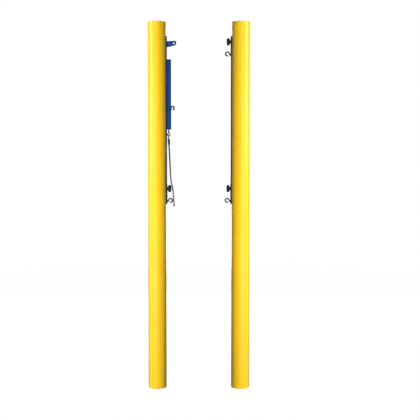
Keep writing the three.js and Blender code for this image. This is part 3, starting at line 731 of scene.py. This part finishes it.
def make_slider(slider, matrix):
    z = middle(f"{slider}_washer").z / MM
    body = f"{slider}_slider"
    plate = fine_copy(f"{slider}_plate", 0.5 * MM)
    piece(f"{slider}_slide_plate", plate, body, HOOK_STEEL, [f"{slider}_plate"])
    nut = fine_copy(f"{slider}_clamp_nut", 0.35 * MM)
    piece(f"{slider}_nut_bar", nut, body, ZINC, [f"{slider}_clamp_nut"])
    ring = rounded([(5.4, 0), (12, 0), (12, 1.5), (5.4, 1.5)], 0.4, 4, closed=True)
    washer_at = matrix @ at((RAIL_FACE + 2.8) * MM, 0, z * MM) @ ALONG_X
    piece(f"{slider}_flat_washer", lathe(ring, 64), body, HOOK_STEEL, [f"{slider}_washer"],
          washer_at)
    make_knob(slider, z, matrix)
    make_hook(slider, z, matrix)


make_slider("tension_lower", ON_TENSION)
make_slider("anchor_upper", ON_ANCHOR)
make_slider("anchor_lower", ON_ANCHOR)


# ---------------------------------------------------------------- cable guide

def in_place(node, direction=ALONG_Y):
    """A frame at the middle of a node on the tension post, turned so that Z is the given direction."""
    return Matrix.Translation(middle(node)) @ direction


def make_cross_pin(name, node, shank, head, bore):
    """A pin riveted over both cheeks of the guide; the sheave's is hollow."""
    end = (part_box(node)[1].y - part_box(node)[0].y) / 2 / MM
    face = end - 2
    outline = [(bore, -end), (head, -end), (head, -face), (shank, -face),
               (shank, face), (head, face), (head, end), (bore, end)]
    soft = 1.2 if bore == 0 else 0.7
    radii = [0.5 if bore else 0, soft, 0.2, 0.2, 0.2, 0.2, soft, 0.5 if bore else 0]
    profile = rounded(outline, radii, 4, closed=bore > 0)
    piece(name, lathe(profile, 48), ROOT, ZINC, [node], in_place(node))


def make_screw(name, node, length):
    """A socket head screw: a knurled rim, a chamfer and a hexagon socket."""
    head, tall, shank, key = 4.25, 3.0, 2.5, 2.4
    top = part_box(node)[1].x / MM - TENSION_X / MM
    knurl = [(lambda a, r=r: r - 0.12 * math.cos(36 * a)) for r in (head - 0.12, head - 0.12)]
    profile = [
        (0, -length), (shank - 0.4, -length), (shank, -length + 0.5), (shank, -tall), (head - 0.3, -tall),
        (knurl[0], -tall + 0.3), (knurl[1], -0.7), (head - 0.3, -0.35), (head - 0.7, 0),
        (2.8, 0), (hexagon(key), -0.3), (hexagon(key), -1.8), (0, -2.2),
    ]
    centre = middle(node)
    place = Matrix.Translation((TENSION_X + top * MM, centre.y, centre.z)) @ ALONG_X
    piece(name, lathe(profile, 144), ROOT, ZINC, [node], place)


def screw_length(node):
    return (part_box(node)[1].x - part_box(node)[0].x) / MM


def make_sheave():
    """A nylon wheel with a deep round groove, rounded flanges and a hub step on each side."""
    half, rim, bore = 7.0, 15.5, 7.3
    side = [(bore, -half), (9.5, -half), (10, -half + 0.5), (13, -half + 0.5), (13.5, -half)]
    groove = [(14.6, -half), (rim, -half + 0.5), (rim, -half + 1.2)]
    for k in range(17):
        angle = -math.pi / 2 + math.pi * k / 16
        groove.append((rim - 0.5 - 4.4 * math.cos(angle), 5.0 * math.sin(angle)))
    groove += [(rim, half - 1.2), (rim, half - 0.5), (14.6, half)]
    profile = side + groove + [(radius, -height) for radius, height in reversed(side)]
    piece("grooved_sheave", lathe(profile, 96), "cable_sheave", NYLON, ["cable_sheave"],
          in_place("cable_sheave"), sharp=50)


bracket = fine_copy("cable_guide_bracket", 0.7 * MM)
piece("cable_guide_cheeks", bracket, ROOT, BLUE, ["cable_guide_bracket"])
make_sheave()
make_cross_pin("sheave_hollow_axle", "sheave_axle", 7, 9, 5)
make_cross_pin("cable_guard_pin", "cable_guard_rivet", 3, 5.5, 0)
for nut in ("cable_guide_nut", "housing_nut_lower", "housing_nut_upper"):
    piece(f"{nut}_bar", fine_copy(nut, 0.3 * MM), ROOT, ZINC, [nut])
for part, ends in (("cable_guide", ("lower", "upper")), ("housing", ("lower", "upper"))):
    for end in ends:
        node = f"{part}_screw_{end}"
        make_screw(f"{part}_socket_screw_{end}", node, screw_length(node))


# ---------------------------------------------------------------- tensioner

CARRIAGE = "tension_carriage"
AXIS_X, SPRING_X = 90, 93  # the pull rod's and the spring's axes, in millimetres from the post's

COVER_LOW, COVER_HIGH = ((corner - Vector((TENSION_X, 0, 0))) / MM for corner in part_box("tensioner_housing"))
COVER_WALL, COVER_CORNER, COVER_SEAT = 2.5, 15, 3.0
PLATE, PLUG, BOSS = 2.7, 10, 14  # how thick or long each step of an end plate is
SLOT_HALF, SLOT_LOW, SLOT_HIGH = 6, 2030, 2173
SCREW_HOLE, ROD_BORE, BOSS_RADIUS = 2.8, 5.6, 6.2


def cover_outline(inset):
    """The housing's nearly oval outline, shrunk by an inset, in millimetres."""
    radius = COVER_CORNER - inset
    x0, x1 = COVER_LOW.x + inset + radius, COVER_HIGH.x - inset - radius
    y0, y1 = COVER_LOW.y + inset + radius, COVER_HIGH.y - inset - radius
    made = []
    for quarter, (x, y) in enumerate(((x1, y1), (x0, y1), (x0, y0), (x1, y0))):
        for step in range(15):
            angle = math.pi / 2 * (quarter + step / 14)
            made.append((x + radius * math.cos(angle), y + radius * math.sin(angle)))
    return made


def plate(outline, low, high, bevel=0.0):
    """A prism given in millimetres and made in metres."""
    return moved(prism(outline, low, high, bevel), Matrix.Scale(MM, 4))


def make_cover():
    """The housing: an oval tube with a slot in front and screw holes at the back."""
    tube = plate(cover_outline(0), COVER_LOW.z, COVER_HIGH.z)
    tools = [plate(cover_outline(COVER_WALL), COVER_LOW.z - 5, COVER_HIGH.z + 5)]
    back, front = COVER_LOW.x, COVER_HIGH.x
    inside, outside = front - 2 * COVER_WALL, front + 2
    sides = [(inside, -SLOT_HALF), (outside, -SLOT_HALF), (outside, SLOT_HALF), (inside, SLOT_HALF)]
    tools.append(plate(sides, SLOT_LOW, SLOT_HIGH))
    for end in ("lower", "upper"):
        hole = lathe([(0, back - 2), (SCREW_HOLE, back - 2), (SCREW_HOLE, back + 5), (0, back + 5)], 32)
        tools.append(moved(hole, at(0, 0, middle(f"housing_screw_{end}").z) @ ALONG_X))
    whole = combined(tube, tools, "DIFFERENCE")
    soften(whole, 0.5 * MM)
    piece("tensioner_cover", whole, ROOT, BLUE, ["tensioner_housing"], ON_TENSION)


def make_end_plates():
    """The plates that close the housing, each with a plug; the spring sits round the top one's boss."""
    outer, inner = cover_outline(0), cover_outline(COVER_WALL + 0.3)
    low, high = COVER_LOW.z - COVER_SEAT, COVER_HIGH.z + COVER_SEAT
    tip, root = high - PLATE - PLUG - BOSS, high - 11
    edge = 0.6
    side = [(BOSS_RADIUS - edge, tip), (BOSS_RADIUS, tip + edge), (BOSS_RADIUS, root)]
    boss = lathe([(0, tip), *side, (0, root)], 48)
    bore = lathe([(0, low - 5), (ROD_BORE, low - 5), (ROD_BORE, low + 20), (0, low + 20)], 48)
    for end, ends, plug, tool, x, operation in (
        ("top", (high - PLATE, high), (high - PLATE - PLUG, high - 1), boss, SPRING_X, "UNION"),
        ("bottom", (low, low + PLATE), (low + 1, low + PLATE + PLUG), bore, AXIS_X, "DIFFERENCE"),
    ):
        closed = combined(plate(outer, *ends, 0.7), [plate(inner, *plug, 0.5)])
        whole = combined(closed, [moved(tool, at(x * MM, 0, 0))], operation)
        piece(f"tensioner_{end}_plate", whole, ROOT, BLUE, [f"housing_{end}_cap"], ON_TENSION)


make_cover()
make_end_plates()
piece("carriage_slide_block", fine_copy("carriage_block", 0.6 * MM), CARRIAGE, NYLON,
      ["carriage_block"])
piece("carriage_cable_hook", fine_copy("carriage_hook", 1.6 * MM, 5, math.radians(50)), CARRIAGE, PLATE_HOOK,
      ["carriage_hook"])


def make_carriage_pin():
    half = (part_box("carriage_pin")[1].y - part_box("carriage_pin")[0].y) / 2 / MM
    profile = rounded([(0, -half), (3, -half), (3, half), (0, half)], [0, 0.6, 0.6, 0], 4)
    piece("carriage_dowel", lathe(profile, 32), CARRIAGE, SPRING_STEEL, ["carriage_pin"],
          in_place("carriage_pin"))


def make_spring():
    """A helical spring with closed ends, held by the housing at the top and the carriage below."""
    low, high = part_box("return_spring")
    wire, dead = 1.2 * MM, 1.4
    coil = (high.y - low.y) / 2 - wire
    turns, per_turn = 14, 28
    centre = Vector((TENSION_X + SPRING_X * MM, 0, 0))
    start, tall = low.z + wire, high.z - low.z - 2 * wire
    path = []
    for i in range(turns * per_turn + 1):
        turn = i / per_turn
        opened = min(max(turn - dead, 0), turns - 2 * dead) / (turns - 2 * dead)
        closed = min(turn, dead) + max(turn - turns + dead, 0)
        height = start + closed * 2 * wire + (tall - 4 * wire * dead) * opened
        angle = 2 * math.pi * turn
        path.append(centre + Vector((coil * math.cos(angle), coil * math.sin(angle), height)))
    bm = sweep(path, circle(wire * 0.98, 12), side=(1, 0, 0))
    spring = piece("return_coil_spring", bm, None, SPRING_STEEL, ["return_spring"])
    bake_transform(spring)


def make_rod():
    """A round rod with its lower end bent into a closed, welded eye."""
    low, high = (corner.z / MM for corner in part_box("pull_rod"))
    eye, wire, shank = 9.5, EYE_WIRE, 5
    eye_z = low + eye + wire
    profile = [(0, eye_z + eye - 1.5), (shank - 0.8, eye_z + eye - 1.5), (shank, eye_z + eye + 2)]
    profile += [(shank, high - 0.8), (shank - 0.8, high), (0, high)]
    angles = [2 * math.pi * i / 72 for i in range(72)]
    ring = [Vector((eye * math.cos(a), 0, eye_z + eye * math.sin(a))) * MM for a in angles]
    loop = sweep(ring, circle(wire * MM, 24), closed=True)
    whole = combined(lathe(profile, 48), [loop])
    piece("pull_rod_with_eye", whole, CARRIAGE, DARK_ZINC, ["pull_rod"],
          ON_TENSION @ at(AXIS_X * MM, 0, 0))


LINK_LEAN, SOCKET_LEAN = math.radians(7.5), math.radians(2.7)
LINK_WIRE, LINK_HALF, LINK_LENGTH = 2.5, 7.0, 26.0
EYE_WIRE = 3.5
LINK_TOP = EYE_WIRE + 0.3 + LINK_WIRE
EYE_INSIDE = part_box("pull_rod")[0].z + EYE_WIRE * MM
LINK_AT = ON_TENSION @ at(AXIS_X * MM, 0, EYE_INSIDE) @ Matrix.Rotation(-LINK_LEAN, 4, "X")
SOCKET_AT = LINK_AT @ at(0, 0, (LINK_TOP - LINK_LENGTH) * MM) @ Matrix.Rotation(-SOCKET_LEAN, 4, "Y")


def make_link():
    """An oval quick link of round wire, with its screwed hexagonal sleeve on one side."""
    straight, centre = LINK_LENGTH / 2 - LINK_HALF, LINK_TOP - LINK_LENGTH / 2
    path = []
    for side in (1, -1):
        for k in range(25):
            angle = math.pi * k / 24 + (0 if side > 0 else math.pi)
            path.append((LINK_HALF * math.cos(angle), centre + side * straight + LINK_HALF * math.sin(angle)))
        for k in range(1, 6):
            path.append((-side * LINK_HALF, centre + side * straight * (1 - k / 3)))
    points = [Vector((0, y, z)) * MM for y, z in path]
    wire = sweep(points, circle(LINK_WIRE * MM, 24), side=(1, 0, 0), closed=True)
    nut = [(2.55, -4), (3.6, -4), (hexagon(4.5), -3.4), (hexagon(4.5), 3.4), (3.6, 4), (2.55, 4)]
    sleeve = moved(lathe(nut, 48), at(0, LINK_HALF * MM, centre * MM))
    piece("oval_quick_link", joined(wire, sleeve), "quick_link", DARK_ZINC, ["quick_link"],
          LINK_AT)


def make_socket():
    """The rope's end socket: a drilled lug on a turned sleeve that is pressed on the rope."""
    lug_z = LINK_WIRE + 1.4 - 4
    lug = moved(lathe(rounded([(0, -3), (7, -3), (7, 3), (0, 3)], [0, 0.7, 0.7, 0], 4), 64), ALONG_Y)
    moved(lug, at(0, 0, lug_z * MM))
    neck = prism([(-7, -3), (7, -3), (7, 3), (-7, 3)], -11, lug_z, 0)
    moved(neck, Matrix.Scale(MM, 4))
    outline = [(0, -46.8), (7.5, -46.8), (9, -45), (9, -40), (8.2, -38.5), (8.2, -34), (9, -32.5),
               (9, -13), (6.5, -9), (0, -9)]
    sleeve = lathe(rounded(outline, [0, 0.6, 0.8, 0.6, 0.6, 0.6, 0.6, 1.2, 1.2, 0], 4), 64)
    hole = moved(lathe([(0, -9), (4, -9), (4, 9), (0, 9)], 40), at(0, 0, lug_z * MM) @ ALONG_Y)
    whole = combined(combined(lug, [neck, sleeve]), [hole], "DIFFERENCE")
    piece("rope_end_socket", whole, "hand_rope", DARK_ZINC, ["rope_socket"], SOCKET_AT,
          sharp=32)


make_carriage_pin()
make_spring()
make_rod()
make_link()
make_socket()


# ---------------------------------------------------------------- studio

def softbox(name, place, target, size, power, only=None, gloss=True):
    """A rectangular light at a place, facing a target. It lights only the given pieces, or all."""
    data = bpy.data.lights.new(name, "AREA")
    data.shape = "RECTANGLE"
    data.size, data.size_y = size
    data.energy = power
    light = bpy.data.objects.new(name, data)
    bpy.context.scene.collection.objects.link(light)
    light.location = place
    light.rotation_euler = (Vector(target) - Vector(place)).to_track_quat("-Z", "Y").to_euler()
    light.visible_glossy = gloss
    if only is not None:
        light.light_linking.receiver_collection = only


def pieces_of(name, side):
    """The pieces on one side of the middle, as a collection for the lights of that side."""
    group = bpy.data.collections.new(name)
    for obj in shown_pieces():
        corners = [obj.matrix_world @ Vector(c) for c in obj.bound_box]
        if side * sum(c.x for c in corners) > 0:
            group.objects.link(obj)
    return group


# A side's lights: name, degrees outwards from the camera's direction, distance, size, height,
# power, and whether it shows in gloss.
SIDE_LIGHTS = [
    ("main", 23, 4.2, (3.2, 5.0), 1.1, 282, False),
    ("low", 24, 3.2, (2.4, 0.5), 0.28, 16, False),
    ("rim", 90, 2.6, (0.7, 4.6), 1.2, 19, True),
    ("strip", 67, 2.6, (0.2, 1.9), 2.7, 30, True),
    ("inner", -70, 2.6, (0.8, 4.6), 1.2, 18, False),
]


def add_lights():
    """Each post is lit from its outer side, as in two mirrored studio shots."""
    for name, side, post_x in (("tension", -1, TENSION_X), ("anchor", 1, ANCHOR_X)):
        group = pieces_of(f"{name}_side", side)
        for kind, degrees, distance, size, height, power, gloss in SIDE_LIGHTS:
            angle = math.radians(degrees)
            place = (post_x + side * distance * math.sin(angle), -distance * math.cos(angle), height)
            softbox(f"{name}_{kind}", place, (post_x, 0, height), size, power, group, gloss)
    softbox("back", (0, 4.5, 2.0), (0, 0, 1.4), (4, 3.5), 150)


def add_world():
    """Pale surroundings that light the object softly."""
    world = bpy.data.worlds.new("studio")
    bpy.context.scene.world = world
    world.use_nodes = True
    tree = world.node_tree
    seen = tree.nodes["Background"]
    seen.inputs["Color"].default_value = rgb(1.0, 1.0, 1.0)
    seen.inputs["Strength"].default_value = 1.0
    lit = tree.nodes.new("ShaderNodeBackground")
    lit.inputs["Color"].default_value = rgb(0.95, 0.97, 1.0)
    lit.inputs["Strength"].default_value = 0.10
    path = tree.nodes.new("ShaderNodeLightPath")
    both = tree.nodes.new("ShaderNodeMixShader")
    tree.links.new(path.outputs["Is Camera Ray"], both.inputs[0])
    tree.links.new(lit.outputs[0], both.inputs[1])
    tree.links.new(seen.outputs[0], both.inputs[2])
    tree.links.new(both.outputs[0], tree.nodes["World Output"].inputs["Surface"])


def add_floor():
    """A round pale floor that fades into the surroundings at its edge."""
    bm = bmesh.new()
    bmesh.ops.create_circle(bm, cap_ends=True, segments=96, radius=9.0)
    mesh = bpy.data.meshes.new("floor")
    bm.to_mesh(mesh)
    bm.free()
    floor = bpy.data.objects.new("floor", mesh)
    floor.location.z = CAD_BOX[0].z - 0.5 * MM
    bpy.context.scene.collection.objects.link(floor)
    look = Look("pale_floor")
    tree = look.tree
    tree.nodes.remove(look.shader)
    glow = look.add("ShaderNodeEmission", {"Color": rgb(1, 1, 1), "Strength": 0.93})
    matte = look.add("ShaderNodeBsdfDiffuse", {"Color": rgb(0.30, 0.30, 0.30)})
    ground = look.add("ShaderNodeAddShader", {0: glow.outputs[0], 1: matte.outputs[0]})
    clear = look.add("ShaderNodeBsdfTransparent")
    distance = look.add("ShaderNodeVectorMath", {0: look.place}, operation="LENGTH").outputs["Value"]
    fade = look.spread(distance, 2.0, 8.5)
    faded = look.add("ShaderNodeMixShader", {0: fade, 1: ground.outputs[0], 2: clear.outputs[0]})
    tree.links.new(faded.outputs[0], tree.nodes["Material Output"].inputs["Surface"])
    mesh.materials.append(look.material)
    floor.visible_diffuse = False
    floor.visible_glossy = False


add_lights()
add_world()
add_floor()
bpy.context.scene.view_settings.view_transform = "Standard"
